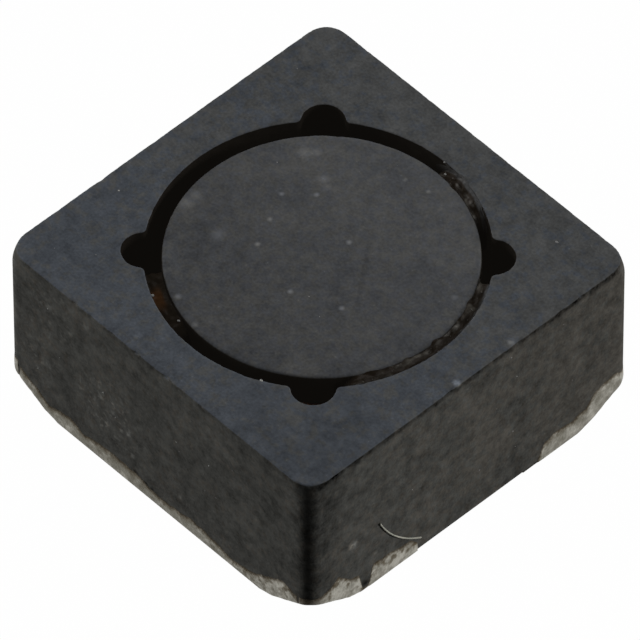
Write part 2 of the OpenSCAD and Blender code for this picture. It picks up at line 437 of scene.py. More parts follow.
def on_front(rows):
    """Puts the front wall's Y into rows that start with X."""
    return [(x, -HALF_SIDE, *rest) for x, *rest in rows]


def on_top(rows, height):
    """Puts the height of a level top into rows that start with X and Y."""
    return [(x, y, height, *rest) for x, y, *rest in rows]


ring_spots = on_right(RIGHT_SMUDGES) + on_front(FRONT_SMUDGES) + on_top(TOP_SMUDGES_AND_SHADE, RING_TOP)
print(f"{len(ring_spots)} smudges on the ring and {len(DRUM_SMUDGES)} on the drum")

# %% Blemishes and the two ferrites
# The walls darken below their upper edges, for dirt and painted shade, and beside the front corner, for
# painted shade alone.
EDGE_GRIME_AND_SHADE_REACH = 0.12
CORNER_PAINTED_SHADE = 0.45
FRONT_PAINTED_SHADE = 0.3
SCRATCH_SHADE = 0.12


def smudges(graph, place, spots):
    """Soft spots, each with its place, reach and strength. A strength below 0 darkens."""
    total = 0.0
    for x, y, z, reach, strength in spots:
        total = soft_spot(graph, place, (x, y, z), reach) * strength + total
    return total


def grime_and_shade(graph, place):
    """Dirt and painted shade below the upper edges of the walls, most of it on the right, and painted shade
    beside the front corner.
    """
    x, y, z = [graph.coordinate(place, axis) for axis in "XYZ"]
    ragged = (graph.clouds(place, 0.25, 3.0, 0.6) - 0.5) * 0.16
    edge = (z + ragged).step(RING_TOP - EDGE_GRIME_AND_SHADE_REACH, RING_TOP - 0.02)
    right = x.step(HALF_SIDE - 0.1, HALF_SIDE - 0.03)
    front = (1 - y.step(0.03 - HALF_SIDE, 0.1 - HALF_SIDE)) * (1 - right)
    # Painted shade on the right wall and on the front wall beside the front corner.
    corner = (1 - y.step(-2.5, -1.8)) * right * CORNER_PAINTED_SHADE + x.step(2.2, 2.46) * front * FRONT_PAINTED_SHADE
    return (1 - facing_up(graph)) * (edge * (1 - corner) * (0.2 + right * 0.4) + corner)


def ring_marks(graph, place):
    """Uneven smudges with painted shade over the front corner, and scuffs on the front wall, less the dirt
    and painted shade along the edges.
    """
    grains = graph.clouds(place, 0.065, 1.0).step(0.50, 0.74)
    clusters = graph.clouds(place, 0.16).step(0.40, 0.56)
    scuffs = smudges(graph, place, on_front(SCUFFED)) * grains * clusters
    uneven = 0.5 + graph.clouds(place, 0.07).step(0.3, 0.7)
    return smudges(graph, place, ring_spots) * uneven + scuffs - grime_and_shade(graph, place)


def drum_marks(graph, place):
    """Pale smudges, less one faint scratch."""
    way = (SCRATCH_TO - SCRATCH_FROM).normalized()
    along = measure(graph, place, SCRATCH_FROM, way)
    across = measure(graph, place, SCRATCH_FROM, way.cross(UP))
    line = 1 - (across * across).step(0.0, SCRATCH_HALF ** 2)
    length = (SCRATCH_TO - SCRATCH_FROM).length
    ends = along.step(0.0, SCRATCH_FADE) * (1 - along.step(length - SCRATCH_FADE, length))
    return smudges(graph, place, on_top(DRUM_SMUDGES, DRUM_TOP)) - line * ends * SCRATCH_SHADE


# lean and thaw paint light across each ferrite: a gradient of brightness, and on the ring a tint as well.
ring_ferrite = ferrite(
    "ring_ferrite", cool=(0.045, 0.050, 0.058, 1), warm=(0.052, 0.053, 0.053, 1),
    lean=-0.02, thaw=0.03, calm=0.25, marks=ring_marks)
drum_ferrite = ferrite(
    "drum_ferrite", cool=(0.047, 0.049, 0.053, 1), warm=(0.052, 0.052, 0.051, 1),
    lean=0.08, thaw=0.0, calm=0.5, marks=drum_marks)
print("ferrite materials made for the ring and the drum")

# %% [markdown]
# ## The ring's outline
# The ring repeats eight times around its axis, so only one eighth of its plan is drawn. One vertex
# is swept round the bore, round the lip of a notch and round the notch itself. Another runs along
# the outer side and round the corner. Both chains have the same number of steps, so bridging them
# gives clean four-sided faces, and three mirrors complete the plan.

# %% Sizes of the ring's plan
BORE_R = 2.055
NOTCH_R = 0.265
LIP_R = 0.08
CORNER_R = 0.19
BORE_STEPS = 60
LIP_STEPS = 10
NOTCH_STEPS = 22
CORNER_STEPS = 12
SIDE_STEPS = BORE_STEPS + LIP_STEPS + NOTCH_STEPS - CORNER_STEPS
WELD = 1e-5


def turned(point, degrees):
    """A point turned about the upright axis."""
    return Matrix.Rotation(math.radians(degrees), 3, "Z") @ point


def vertices(geometry):
    """The vertices in what an operator has made."""
    return [item for item in geometry if isinstance(item, bmesh.types.BMVert)]


def sweep(bm, vertex, centre, angle, steps):
    """Spins one vertex round a centre and returns the arc's far end."""
    made = bmesh.ops.spin(
        bm, geom=[vertex], cent=centre, axis=UP, angle=angle, steps=steps, use_duplicate=False)
    return vertices(made["geom_last"])[0]


print(f"one eighth of the plan takes {SIDE_STEPS + CORNER_STEPS} steps")


# %% One eighth of the plan
def angle_between(first, second):
    """Signed angle from one plan direction to another."""
    return math.atan2(first.x * second.y - first.y * second.x, first.dot(second))


def bore_chain(bm):
    """Bore, lip and notch, from +X round to the diagonal."""
    reach = BORE_R + LIP_R
    along = (reach ** 2 - (NOTCH_R + LIP_R) ** 2 + BORE_R ** 2) / (2 * BORE_R)
    aside = math.sqrt(reach ** 2 - along ** 2)
    notch = turned(Vector((BORE_R, 0, 0)), 45)
    lip = turned(Vector((along, -aside, 0)), 45)
    vertex = bm.verts.new((BORE_R, 0, 0))
    bore_angle = angle_between(Vector((1, 0, 0)), lip)
    vertex = sweep(bm, vertex, (0, 0, 0), bore_angle, BORE_STEPS)
    vertex = sweep(bm, vertex, lip, angle_between(-lip, notch - lip), LIP_STEPS)
    sweep(bm, vertex, notch, angle_between(lip - notch, notch), NOTCH_STEPS)
    return bm.edges[:]


def side_chain(bm):
    """Outer side and corner, from +X round to the diagonal."""
    inner_edges = set(bm.edges)
    start = bm.verts.new((HALF_SIDE, 0, 0))
    bend = bm.verts.new((HALF_SIDE, HALF_SIDE - CORNER_R, 0))
    centre = Vector((HALF_SIDE - CORNER_R, HALF_SIDE - CORNER_R, 0))
    straight = bm.edges.new((start, bend))
    sweep(bm, bend, centre, math.radians(45), CORNER_STEPS)
    bmesh.ops.subdivide_edges(bm, edges=[straight], cuts=SIDE_STEPS - 1)
    return [e for e in bm.edges if e not in inner_edges]


def everything(bm):
    return bm.verts[:] + bm.edges[:] + bm.faces[:]


def face_outward(bm):
    bmesh.ops.recalc_face_normals(bm, faces=bm.faces)


def ring_plan():
    """The flat plan of the whole ring, as faces at height 0."""
    bm = bmesh.new()
    chains = bore_chain(bm) + side_chain(bm)
    bmesh.ops.bridge_loops(bm, edges=chains)
    diagonal = Matrix.Rotation(math.radians(45), 4, "Z")
    for space, axis in ((diagonal, "X"), (Matrix.Identity(4), "X"), (Matrix.Identity(4), "Y")):
        bmesh.ops.mirror(bm, geom=everything(bm), matrix=space, merge_dist=WELD, axis=axis)
    bmesh.ops.remove_doubles(bm, verts=bm.verts, dist=WELD)
    face_outward(bm)
    return bm


bm = ring_plan()
area = sum(f.calc_area() for f in bm.faces)
print(f"ring plan: {len(bm.faces)} faces, {area:.3f} square millimetres")
bm.free()

# %% [markdown]
# ## From plan to block
# The plan is extruded to the ring's height. The four bottom corners are then sliced off by a
# sloping plane each, as the press tool leaves them, and a flatter second slice eases the lower edge
# of that bevel. The cuts are closed.

# %% Block with bevelled corners
BEVELS = [(0.75, 0.41), (0.85, 0.25)]


def corner_planes():
    """A point and an outward normal for each slice off each bottom corner."""
    for run, rise in BEVELS:
        for x in (-1, 1):
            for y in (-1, 1):
                point = Vector((x * HALF_SIDE, y * (HALF_SIDE - run), RING_FLOOR))
                yield point, Vector((x / run, y / run, -1 / rise)).normalized()


def slice_off(bm, point, normal, close):
    """Cuts away what lies beyond a plane, and closes the cut if asked."""
    made = bmesh.ops.bisect_plane(
        bm, geom=everything(bm), dist=WELD, plane_co=point, plane_no=normal, clear_outer=True)
    if close:
        rim = [e for e in made["geom_cut"] if isinstance(e, bmesh.types.BMEdge)]
        bmesh.ops.edgeloop_fill(bm, edges=rim)


def raise_plan(bm):
    """Extrudes the plan from the ring's floor to its top."""
    bmesh.ops.translate(bm, verts=bm.verts, vec=(0, 0, RING_FLOOR))
    made = bmesh.ops.extrude_face_region(bm, geom=bm.faces[:])
    bmesh.ops.translate(bm, verts=vertices(made["geom"]), vec=(0, 0, RING_TOP - RING_FLOOR))
    face_outward(bm)


def bevelled_block(soften):
    """The ring as a closed block. soften rounds its edges first."""
    bm = ring_plan()
    raise_plan(bm)
    if soften:
        soften(bm)
    for point, normal in corner_planes():
        slice_off(bm, point, normal, close=True)
    bm.normal_update()
    return bm


print(f"{len(list(corner_planes()))} slices bevel the bottom corners")

# %% [markdown]
# ## Worn edges
# A pressed ceramic edge is never sharp. A narrow bevel breaks it, and handling nibbles it. Each rim
# gets a three-step bevel, then guard loops on both sides keep the flat faces flat while the bevel's
# own vertices are pushed in by noise, deepest where a chip has come off. Last, the tops of the four
# upright corners are rubbed to a larger radius.

# %% Edge wear
EDGE_BREAK = 0.02
BREAK_STEPS = 3
GUARD = 0.015
GUARD_LOOPS = 3
WEAR = 0.03
RIGHT_CHIPS = [(-0.36, 0.07), (0.50, 0.05), (0.75, 0.08), (1.45, 0.07), (1.78, 0.06)]
FRONT_CHIPS = [(-1.40, 0.06), (-1.12, 0.05), (-0.36, 0.07), (0.15, 0.06)]
CHIPS = on_right(RIGHT_CHIPS) + on_front(FRONT_CHIPS)


def rim_edges(bm):
    """Edges where a level face meets an upright one."""
    def level(face):
        return abs(face.normal.z) > 0.9

    return [e for e in bm.edges
            if len(e.link_faces) == 2 and level(e.link_faces[0]) != level(e.link_faces[1])]


def nibble(point):
    """How far wear has pushed an edge in at a point."""
    rub = max(0.0, noise.noise(point * 9.0) + 0.1)
    crumb = max(0.0, noise.noise(point * 28.0 + UP * 5) - 0.05)
    chip = max(0.0, noise.noise(point * 2.6 + UP * 11) - 0.3)
    ragged = 0.5 + max(0.0, noise.noise(point * 20.0 + UP * 3))
    depth = 0.15 * rub + 0.2 * crumb + 1.5 * chip * ragged
    for x, y, radius in CHIPS:
        near = math.hypot(point.x - x, point.y - y) / radius
        depth += max(0.0, 1 - near * near) * ragged
    return WEAR * depth


def nearness(points, reach):
    """A function that is 1 at any of the points and falls to 0 within reach of them."""
    tree = kdtree.KDTree(len(points))
    for index, point in enumerate(points):
        tree.insert(point, index)
    tree.balance()
    return lambda place: max(0.0, 1 - tree.find(place)[2] / reach)


print(f"{len(CHIPS)} listed chips in the top edges")


# %% Soften the rims
def soften_rims(bm):
    """Bevels every rim, adds guard loops on each side of it and wears the top edges."""
    bm.normal_update()
    made = bmesh.ops.bevel(
        bm, geom=rim_edges(bm), offset=EDGE_BREAK, offset_type="OFFSET", affect="EDGES",
        segments=BREAK_STEPS, profile=0.5, material=-1, clamp_overlap=True)
    on_rim = nearness([v.co.copy() for f in made["faces"] for v in f.verts], 2 * GUARD)
    bm.normal_update()
    level = [f for f in bm.faces if abs(f.normal.z) > 0.99]
    upright = [f for f in bm.faces if abs(f.normal.z) < 0.01]
    for faces in (level, upright):
        for _ in range(GUARD_LOOPS):
            bmesh.ops.inset_region(bm, faces=faces, thickness=GUARD, use_even_offset=True)
    bm.normal_update()
    for vertex in bm.verts:
        if vertex.co.z > RING_TOP / 2:
            vertex.co -= on_rim(vertex.co) * nibble(vertex.co) * vertex.normal
    blunt_corners(bm)


print(f"rims get a bevel of {EDGE_BREAK} mm and {GUARD_LOOPS} guard loops on each side")

# %% Blunt corners
BLUNT_R = 0.32
BLUNT_DEPTH = 0.24
BLUNT_STEPS = 4


def outline_reach(way):
    """Distance from the middle of a blunt corner to the ring's outline, in one direction."""
    slim = BLUNT_R - CORNER_R
    if min(way) * BLUNT_R <= max(way) * slim:
        return BLUNT_R / max(way)
    ahead = slim * (way.x + way.y)
    return ahead + math.sqrt(ahead ** 2 - 2 * slim ** 2 + CORNER_R ** 2)


def blunt_corners(bm):
    """Draws the top of each upright corner in, towards a larger radius."""
    foot = RING_TOP - BLUNT_DEPTH
    for step in range(BLUNT_STEPS):
        height = foot + 0.6 * BLUNT_DEPTH * step / BLUNT_STEPS
        bmesh.ops.bisect_plane(
            bm, geom=everything(bm), dist=WELD, plane_co=(0, 0, height), plane_no=UP)
    middle = HALF_SIDE - BLUNT_R
    for vertex in bm.verts:
        aside = Vector((abs(vertex.co.x) - middle, abs(vertex.co.y) - middle))
        if min(aside) > 0 and vertex.co.z > foot:
            part = ((vertex.co.z - foot) / BLUNT_DEPTH) ** 2
            scale = 1 - part * (1 - BLUNT_R / outline_reach(aside.normalized()))
            vertex.co.x = math.copysign(middle + scale * aside.x, vertex.co.x)
            vertex.co.y = math.copysign(middle + scale * aside.y, vertex.co.y)


print(f"corners keep {outline_reach(Vector((0.6, 0.8))):.3f} mm before they are rubbed")

# %% From bmesh to a finished piece
SMOOTH_BELOW = math.radians(38)


def finish_piece(bm, name, material, slot, *nodes):
    """Scales a mesh to metres, gives it its material and hangs it on the part."""
    bmesh.ops.scale(bm, vec=(MM, MM, MM), verts=bm.verts)
    for face in bm.faces:
        face.smooth = True
    mesh = bpy.data.meshes.new(name)
    bm.to_mesh(mesh)
    bm.free()
    mesh.set_sharp_from_angle(angle=SMOOTH_BELOW)
    mesh.materials.append(material)
    piece = bpy.data.objects.new(name, mesh)
    scene.collection.objects.link(piece)
    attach(piece, "root")
    if nodes:
        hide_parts(*nodes)
    print(f"{name}: {len(mesh.polygons)} faces")


finish_piece(bevelled_block(soften_rims), "ferrite_ring", ring_ferrite, "ring_ferrite", "shield_ring")

# %% [markdown]
# ## Drum
# Only the drum's round top shows, but the whole drum is turned from one half profile, as it is
# ground from one piece: a thick top flange, a post and a slightly smaller bottom flange.

# %% Turn the drum
FLANGE_T = 0.45
POST_R = 0.95
LEAD_GAP = 0.25
DRUM_BREAK = 0.045
RIM_ZONE = 1.1 * DRUM_BREAK
DRUM_WEAR = 0.6
DRUM_STEPS = 256
ARC_STEPS = 4


def drum_profile():
    """Half section of the drum, from the top of its axis to the bottom."""
    small_r = BORE_R - LEAD_GAP
    rim = [math.radians(90 - 90 * i / ARC_STEPS) for i in range(ARC_STEPS + 1)]
    flat_r = DRUM_R - DRUM_BREAK
    flat_z = DRUM_TOP - DRUM_BREAK
    rounded = [(flat_r + DRUM_BREAK * math.cos(a), flat_z + DRUM_BREAK * math.sin(a)) for a in rim]
    return [
        (0, DRUM_TOP), (flat_r - 2 * GUARD, DRUM_TOP), (flat_r - GUARD, DRUM_TOP),
        *rounded, (DRUM_R, DRUM_TOP - DRUM_BREAK - GUARD), (DRUM_R, DRUM_TOP - FLANGE_T),
        (POST_R, DRUM_TOP - FLANGE_T), (POST_R, DRUM_FLOOR + FLANGE_T),
        (small_r, DRUM_FLOOR + FLANGE_T), (small_r, DRUM_FLOOR + DRUM_BREAK),
        (small_r - DRUM_BREAK, DRUM_FLOOR), (0, DRUM_FLOOR),
    ]


def turned_drum():
    """The half section spun round, with its upper rim worn."""
    bm = bmesh.new()
    corners = [bm.verts.new((r, 0, z)) for r, z in drum_profile()]
    for first, second in zip(corners, corners[1:]):
        bm.edges.new((first, second))
    bmesh.ops.spin(
        bm, geom=everything(bm), cent=(0, 0, 0), axis=UP, angle=math.tau,
        steps=DRUM_STEPS, use_merge=True, use_duplicate=False)
    bmesh.ops.remove_doubles(bm, verts=bm.verts, dist=WELD)
    face_outward(bm)
    bm.normal_update()
    for vertex in bm.verts:
        radius = math.hypot(vertex.co.x, vertex.co.y)
        if vertex.co.z > DRUM_TOP - RIM_ZONE and radius > DRUM_R - RIM_ZONE:
            vertex.co -= DRUM_WEAR * nibble(vertex.co + UP * 40) * vertex.normal
    bmesh.ops.translate(bm, verts=bm.verts, vec=(DRUM_AXIS.x, DRUM_AXIS.y, 0))
    return bm


finish_piece(turned_drum(), "ferrite_drum", drum_ferrite, "drum_ferrite", "drum_core")

# %% [markdown]
# ## Tin
# The terminals are a baked metal paste with a skin of tin. On a used part the tin is dull, warm grey,
# pitted, and browned by flux where it thins out. It is brightest towards the right-hand side.

# %% Tin material
TIN = (0.32, 0.308, 0.267, 1)
TIN_DULL = (0.142, 0.135, 0.109, 1)
FLUX = (0.046, 0.037, 0.025, 1)
STAIN = (0.072, 0.057, 0.035, 1)
BARE_PLACE = (2.55, -2.55, 0.42)
BARE_REACH = 0.35
BLOTCH_SIZE = 0.16
SPECKLE_SIZE = 0.11
PIT_SIZE = 0.04


def tin(name):
    """Tin, dull in blotches, stained in speckles, and brown where it thins out at its upper edge."""
    material, graph, place = new_material(name)
    blotch = graph.clouds(place, BLOTCH_SIZE, 3.0, 0.6)
    fine = graph.clouds(place, PIT_SIZE, 2.0, 0.6)
    clean = graph.coordinate(place, "X").step(0.6, 2.3)
    below = graph.node("ShaderNodeAttribute", {"attribute_name": "below"}, output="Fac")
    uneven = below + (fine - 0.5) * 0.07 + (blotch - 0.5) * 0.07
    thin = 1 - uneven.step(0.0, 0.05)
    rim = 1 - uneven.step(0.03, 0.10)
    far = graph.coordinate(place, "Y").step(-1.0, 1.0)
    bright = (clean * 0.2 - far * 0.1 + blotch * 0.85 + fine * 0.12).step(0.42, 0.85)
    speckle = graph.clouds(place, SPECKLE_SIZE).step(0.47, 0.66)
    stain = speckle * (1 - below.step(0.06, 0.3) * 0.7) * (0.4 + clean * 0.6) * (1 - far * 0.75)
    bare = soft_spot(graph, place, BARE_PLACE, BARE_REACH)
    dirt = 1 - (1 - stain * 0.9) * (1 - bare * 0.8)
    colour = graph.mix(bright, TIN_DULL, TIN)
    colour = graph.mix(1 - (1 - stain * 0.9) * (1 - rim * 0.7), colour, STAIN)
    colour = graph.mix(bare * 0.8, colour, FLUX)
    colour = graph.mix(thin, colour, FLUX)
    graph.principled({
        "Base Color": colour,
        "Metallic": (1 - thin) * (0.55 + bright * 0.3) * (1 - dirt * 0.8),
        "Roughness": 0.5 - bright * 0.12 + dirt * 0.3 + thin * 0.2,
        "Specular IOR Level": 0.05,
        "Normal": graph.bump(blotch, 0.012, graph.bump(fine, 0.003)),
    })
    return material


tin_plating = tin("tin_plating")
print("tin material made")

# %% [markdown]
# ## Terminals
# Each terminal wraps one side of the ring: it covers the bottom, climbs the walls a little and rises
# at the corners. The paste is dabbed on, so its upper edge wanders. The piece starts from the ring's
# own block, keeps the faces that are coated, and draws each upright column of faces down to the
# height that the paste reaches there. Each vertex remembers how far it lies below that upper edge, so
# that the tin can thin out towards it. Extruding the skin in place then gives two copies of it, and
# the upper one is lifted by the coat's thickness, which is less on the walls than underneath.

# %% How high the tin climbs
PAD_EDGE = 0.86
CLIMB_LIMIT = 0.7
FRONT_CLIMB = [
    (-2.41, 0.50), (-2.05, 0.31), (-1.90, 0.21), (-1.50, 0.29), (-1.30, 0.19), (-0.91, 0.27),
    (-0.56, 0.26), (-0.30, 0.26), (-0.10, 0.18), (0.10, 0.17), (0.58, 0.24), (0.93, 0.21),
    (1.30, 0.12), (1.57, 0.18), (1.67, 0.21), (1.98, 0.39), (2.16, 0.51), (2.30, 0.44), (2.41, 0.44),
]
NEAR_CLIMB = [
    (-2.41, 0.44), (-2.28, 0.47), (-2.14, 0.58), (-1.94, 0.38), (-1.79, 0.33), (-1.76, 0.04),
    (-1.64, 0.04), (-1.59, 0.36), (-1.37, 0.33), (-1.13, 0.30), (-0.96, 0.28), (-0.83, 0.12),
    (-0.78, 0.03),
]
FAR_CLIMB = [
    (1.10, 0.05), (1.20, 0.27), (1.36, 0.34), (1.66, 0.31), (1.88, 0.35), (2.03, 0.52),
    (2.15, 0.57), (2.30, 0.61), (2.41, 0.59),
]
BARE_CORNER = 0.45
COATED_CORNER = 0.57


def wall_foot(point):
    """Height of the wall's lower end, which the corner bevels raise."""
    inset = 2 * HALF_SIDE - abs(point.x) - abs(point.y)
    raised = [rise * (1 - inset / run) for run, rise in BEVELS]
    return RING_FLOOR + max(0.0, *raised)


def read_climb(climbs, place):
    """Height between the two listed points on either side of a place, or 0 beyond them."""
    for (start, low), (end, high) in zip(climbs, climbs[1:]):
        if start <= place <= end:
            return low + (high - low) * (place - start) / (end - start)
    return 0.0


def climb(point):
    """Height that the tin reaches on the wall at a point."""
    straight = HALF_SIDE - CORNER_R + WELD
    spot = point.xy.to_3d()
    ragged = 0.025 * noise.noise(spot * 9.0) + 0.008 * noise.noise(spot * 40.0)
    if abs(point.x) <= straight:
        height = read_climb(FRONT_CLIMB, -math.copysign(point.x, point.x * point.y))
    elif abs(point.y) <= straight:
        side = math.copysign(1, point.x)
        height = read_climb(NEAR_CLIMB, side * point.y) + read_climb(FAR_CLIMB, side * point.y)
    else:
        height = BARE_CORNER if point.x * point.y < 0 else COATED_CORNER
    return height + ragged


print(f"tin climbs {climb(Vector((2.2, -HALF_SIDE, 0))):.2f} mm beside the front corner")

# %% The skin of a terminal
WALL_CUTS = 7
CLOSE = 0.001


def coated(face):
    """Whether a face of the block is on the outside and below its top."""
    middle = face.calc_center_median()
    outer = max(abs(middle.x), abs(middle.y)) > HALF_SIDE - CORNER_R
    return face.normal.z < -0.01 or (abs(face.normal.z) <= 0.01 and outer)


def terminal_skin(side):
    """The coated faces on one side of the ring, drawn down to the height of the tin."""
    bm = bevelled_block(None)
    below = bm.verts.layers.float.new("below")
    bmesh.ops.delete(bm, geom=[f for f in bm.faces if not coated(f)], context="FACES")
    slice_off(bm, Vector((0, side * PAD_EDGE, 0)), Vector((0, -side, 0)), close=False)
    slice_off(bm, Vector((0, 0, CLIMB_LIMIT)), UP, close=False)
    upright = [e for e in bm.edges if (e.verts[0].co - e.verts[1].co).xy.length < WELD]
    bmesh.ops.subdivide_edges(bm, edges=upright, cuts=WALL_CUTS, use_grid_fill=True)
    for vertex in bm.verts:
        foot = wall_foot(vertex.co)
        reach = max(0.0, climb(vertex.co) - foot)
        part = max(0.0, vertex.co.z - foot) / (CLIMB_LIMIT - foot)
        vertex[below] = (1 - part) * reach
        if vertex.co.z > foot + WELD:
            vertex.co.z = foot + part * reach
    bmesh.ops.remove_doubles(bm, verts=bm.verts, dist=CLOSE)
    bmesh.ops.dissolve_degenerate(bm, edges=bm.edges, dist=CLOSE)
    face_outward(bm)
    return bm


print(f"each pad is {HALF_SIDE - PAD_EDGE:.2f} mm deep")

# %% Coat the two sides
PLATE_T = RING_FLOOR
FILM_T = 0.005
FEATHER = 0.08
WALL_SHARE = 0.5
LUMP = 0.008
BEDDING = 0.003


def coat_thickness(point, below):
    """Thickness of the tin: a film at its upper edge, full and lumpy further down."""
    lump = LUMP * noise.noise(point * 11.0) if point.z > RING_FLOOR + WELD else 0.0
    return FILM_T + (PLATE_T - FILM_T + lump) * min(1.0, below / FEATHER)


def terminal(side):
    """One terminal: the skin is doubled, one copy sinks into the ring and the other is lifted off it."""
    bm = terminal_skin(side)
    below = bm.verts.layers.float["below"]
    bm.normal_update()
    facing = sum(f.normal.y * f.calc_area() for f in bm.faces)
    if facing * side < 0:
        bmesh.ops.reverse_faces(bm, faces=bm.faces)
        bm.normal_update()
    lifts = {}
    for vertex in bm.verts:
        lift = (BEDDING + coat_thickness(vertex.co, vertex[below])) * vertex.normal
        lifts[vertex] = Vector((WALL_SHARE * lift.x, WALL_SHARE * lift.y, lift.z))
    for vertex in bm.verts:
        vertex.co -= BEDDING * vertex.normal
    bmesh.ops.extrude_face_region(bm, geom=bm.faces[:], use_keep_orig=True)
    for vertex, lift in lifts.items():
        vertex.co += lift
    face_outward(bm)
    return bm


finish_piece(terminal(-1), "start_tin", tin_plating, "tin_plating", "start_terminal")
finish_piece(terminal(1), "finish_tin", tin_plating, "tin_plating", "finish_terminal")

# %% [markdown]
# ## Resin beads
# Three beads of resin hold the drum in the ring. Each one is a puddle that fills the narrow gap for a
# short way, slopes towards the drum or the ring and tails off at its ends. A flat grid is bent into
# the gap, and noise makes it lumpy. The left bead is clear and dark, with one amber place. The two on
# the right also lap over the rims here and there, and they are weathered: browned, cloudy along the drum
# and towards the front along the ring, dusty where they meet the ring, and streaked with painted glints.
# Painted shade darkens all of it where it lies deep. The streaks follow the gap, so the material unrolls
# the gap into a strip first.

# %% Resin colours and streaks
RESIN_DARK = (0.0056, 0.0037, 0.0020, 1)
RESIN_BROWN = (0.0150, 0.0122, 0.0102, 1)
RESIN_AMBER = (0.034, 0.014, 0.004, 1)
RESIN_CLOUDY = (0.054, 0.050, 0.043, 1)
# The next colour is a painted highlight: pale specks for the glints on the glossy resin.
RESIN_PAINTED_GLINT = (0.130, 0.125, 0.115, 1)
RESIN_DUSTY = (0.041, 0.042, 0.043, 1)
AMBER_PLACE = (-0.87, -1.76, 2.34)
AMBER_REACH = 0.26
SHALLOW = 0.13
DEEP = 0.34
STREAK = 2.5
# Painted glints: each row holds a way round the gap in degrees, a distance from the axis, a reach and a
# strength.
RESIN_GLINT_STREAKS = [
    (12.7, 1.942, 0.040, 0.75), (8.2, 1.915, 0.036, 0.85), (3.1, 1.930, 0.034, 0.30),
    (-2.1, 1.945, 0.026, 0.80), (-5.7, 1.928, 0.030, 0.30), (-11.2, 1.935, 0.026, 0.15),
    (-14.4, 1.925, 0.028, 0.30), (-21.4, 1.950, 0.028, 0.15), (80.0, 1.964, 0.024, 0.65),
    (81.0, 2.040, 0.030, 0.20), (74.4, 1.977, 0.036, 0.25), (71.4, 1.975, 0.036, 0.25),
    (66.0, 1.942, 0.040, 0.90),
]


def unrolled(graph, place):
    """A place in the gap as its way round the bore and its distance from the axis. The way round is
    shortened, so that a pattern on it is drawn out along the gap."""
    y = graph.coordinate(place, "Y")
    turn = y.math("ARCTAN2", y, graph.coordinate(place, "X"))
    inputs = {"X": turn * (BORE_R / STREAK), "Y": from_axis(graph, place)}
    return graph.node("ShaderNodeCombineXYZ", {}, inputs)


print(f"{len(RESIN_GLINT_STREAKS)} pale streaks along the gap")

# %% Resin material
STRETCH_SIZE = 0.2
CLOUD_SIZE = 0.06
# Size of the fine noise that sets the painted glints, the roughness and the bumps.
RESIN_GRAIN_SIZE = 0.04


def resin(name):
    """Resin, clear and dark on the left, and browned, cloudy, dusty and streaked with painted glints on the
    right, and darker where it lies deep, as painted shade.
    """
    material, graph, place = new_material(name)
    x, y, z = [graph.coordinate(place, axis) for axis in "XYZ"]
    in_gap = unrolled(graph, place)
    stretch = graph.clouds(place, STRETCH_SIZE)
    cloud = graph.clouds(in_gap, CLOUD_SIZE, 3.0, 0.6)
    fine = graph.clouds(place, RESIN_GRAIN_SIZE, 2.0, 0.6)
    # 1 on the right, where the resin is browned and cloudy and also gets the painted glints.
    aged_and_lit = x.step(-0.6, 0.6)
    from_drum = graph.vector("SUBTRACT", {0: place, 1: (DRUM_AXIS.x, DRUM_AXIS.y, 0)})
    off_drum = from_axis(graph, from_drum) - DRUM_R
    off_ring = BORE_R - from_axis(graph, place)
    by_drum = y.step(-0.7, -0.4)
    off_rim = off_drum * by_drum + off_ring * (1 - by_drum)
    smear = 1 - (off_rim + (cloud - 0.5) * 0.25).step(0.0, 0.08)
    colour = graph.mix(cloud.step(0.44, 0.58) * aged_and_lit, RESIN_DARK, RESIN_BROWN)
    here = 1 - (1 - stretch.step(0.44, 0.60)) * by_drum
    colour = graph.mix(smear * here * aged_and_lit, colour, RESIN_CLOUDY)
    edge = 1 - (off_ring + (cloud - 0.5) * 0.06).step(0.015, 0.045)
    colour = graph.mix(edge * aged_and_lit * 0.9, colour, RESIN_DUSTY)
    # Painted glints: pale streaks and specks along the gap, where the glossy resin would catch the lamps.
    streaks = [(math.radians(turn) * BORE_R / STREAK, radius, 0, reach, strength)
               for turn, radius, reach, strength in RESIN_GLINT_STREAKS]
    mottled = smudges(graph, in_gap, streaks) * fine.step(0.25, 0.60)
    painted_glints = fine.step(0.66, 0.74) * aged_and_lit * 0.5 + mottled
    colour = graph.mix(painted_glints, colour, RESIN_PAINTED_GLINT)
    amber = soft_spot(graph, place, AMBER_PLACE, AMBER_REACH) * off_drum.step(0.03, 0.09)
    colour = graph.mix(amber, colour, RESIN_AMBER)
    graph.principled({
        # Painted shade: the colour darkens where the resin lies deep in the gap.
        "Base Color": graph.brighten(colour, z.step(RING_TOP - DEEP, RING_TOP - SHALLOW)),
        "Roughness": 0.2 + fine * 0.25,
        "Specular IOR Level": 0.01,
        # Painted glow, for the light bounced about in the gap.
        "Emission Color": GAP_GLOW,
        "Emission Strength": 0.8,
        "Normal": graph.bump(fine, 0.004),
    })
    return material


adhesive = resin("adhesive")
print("resin material made")

# %% The two rims of the gap
OUT_OF_SIGHT = 0.4
LAP_FILM = 0.004
NOTCH_TURN = 10


def drum_reach(angle):
    """Distance from the ring's axis to the drum's edge, in one direction."""
    way = Vector((math.cos(angle), math.sin(angle)))
    ahead = DRUM_AXIS.xy.dot(way)
    aside = DRUM_AXIS.xy.length_squared - ahead ** 2
    return ahead + math.sqrt(DRUM_R ** 2 - aside)


def rounded_rim(inward, edge):
    """How far a rounded rim has dropped at a distance inward from its upright wall. Beyond that wall
    it has dropped out of sight."""
    if inward <= 0:
        return OUT_OF_SIGHT
    return edge - math.sqrt(edge ** 2 - max(0.0, edge - inward) ** 2)


def beside_ring(angle):
    """1 where the gap has the ring's rim beside it, falling to 0 at the notches on the diagonals."""
    off_diagonal = abs(math.degrees(angle) % 90 - 45)
    return max(0.0, min(1.0, (off_diagonal - NOTCH_TURN) / NOTCH_TURN))


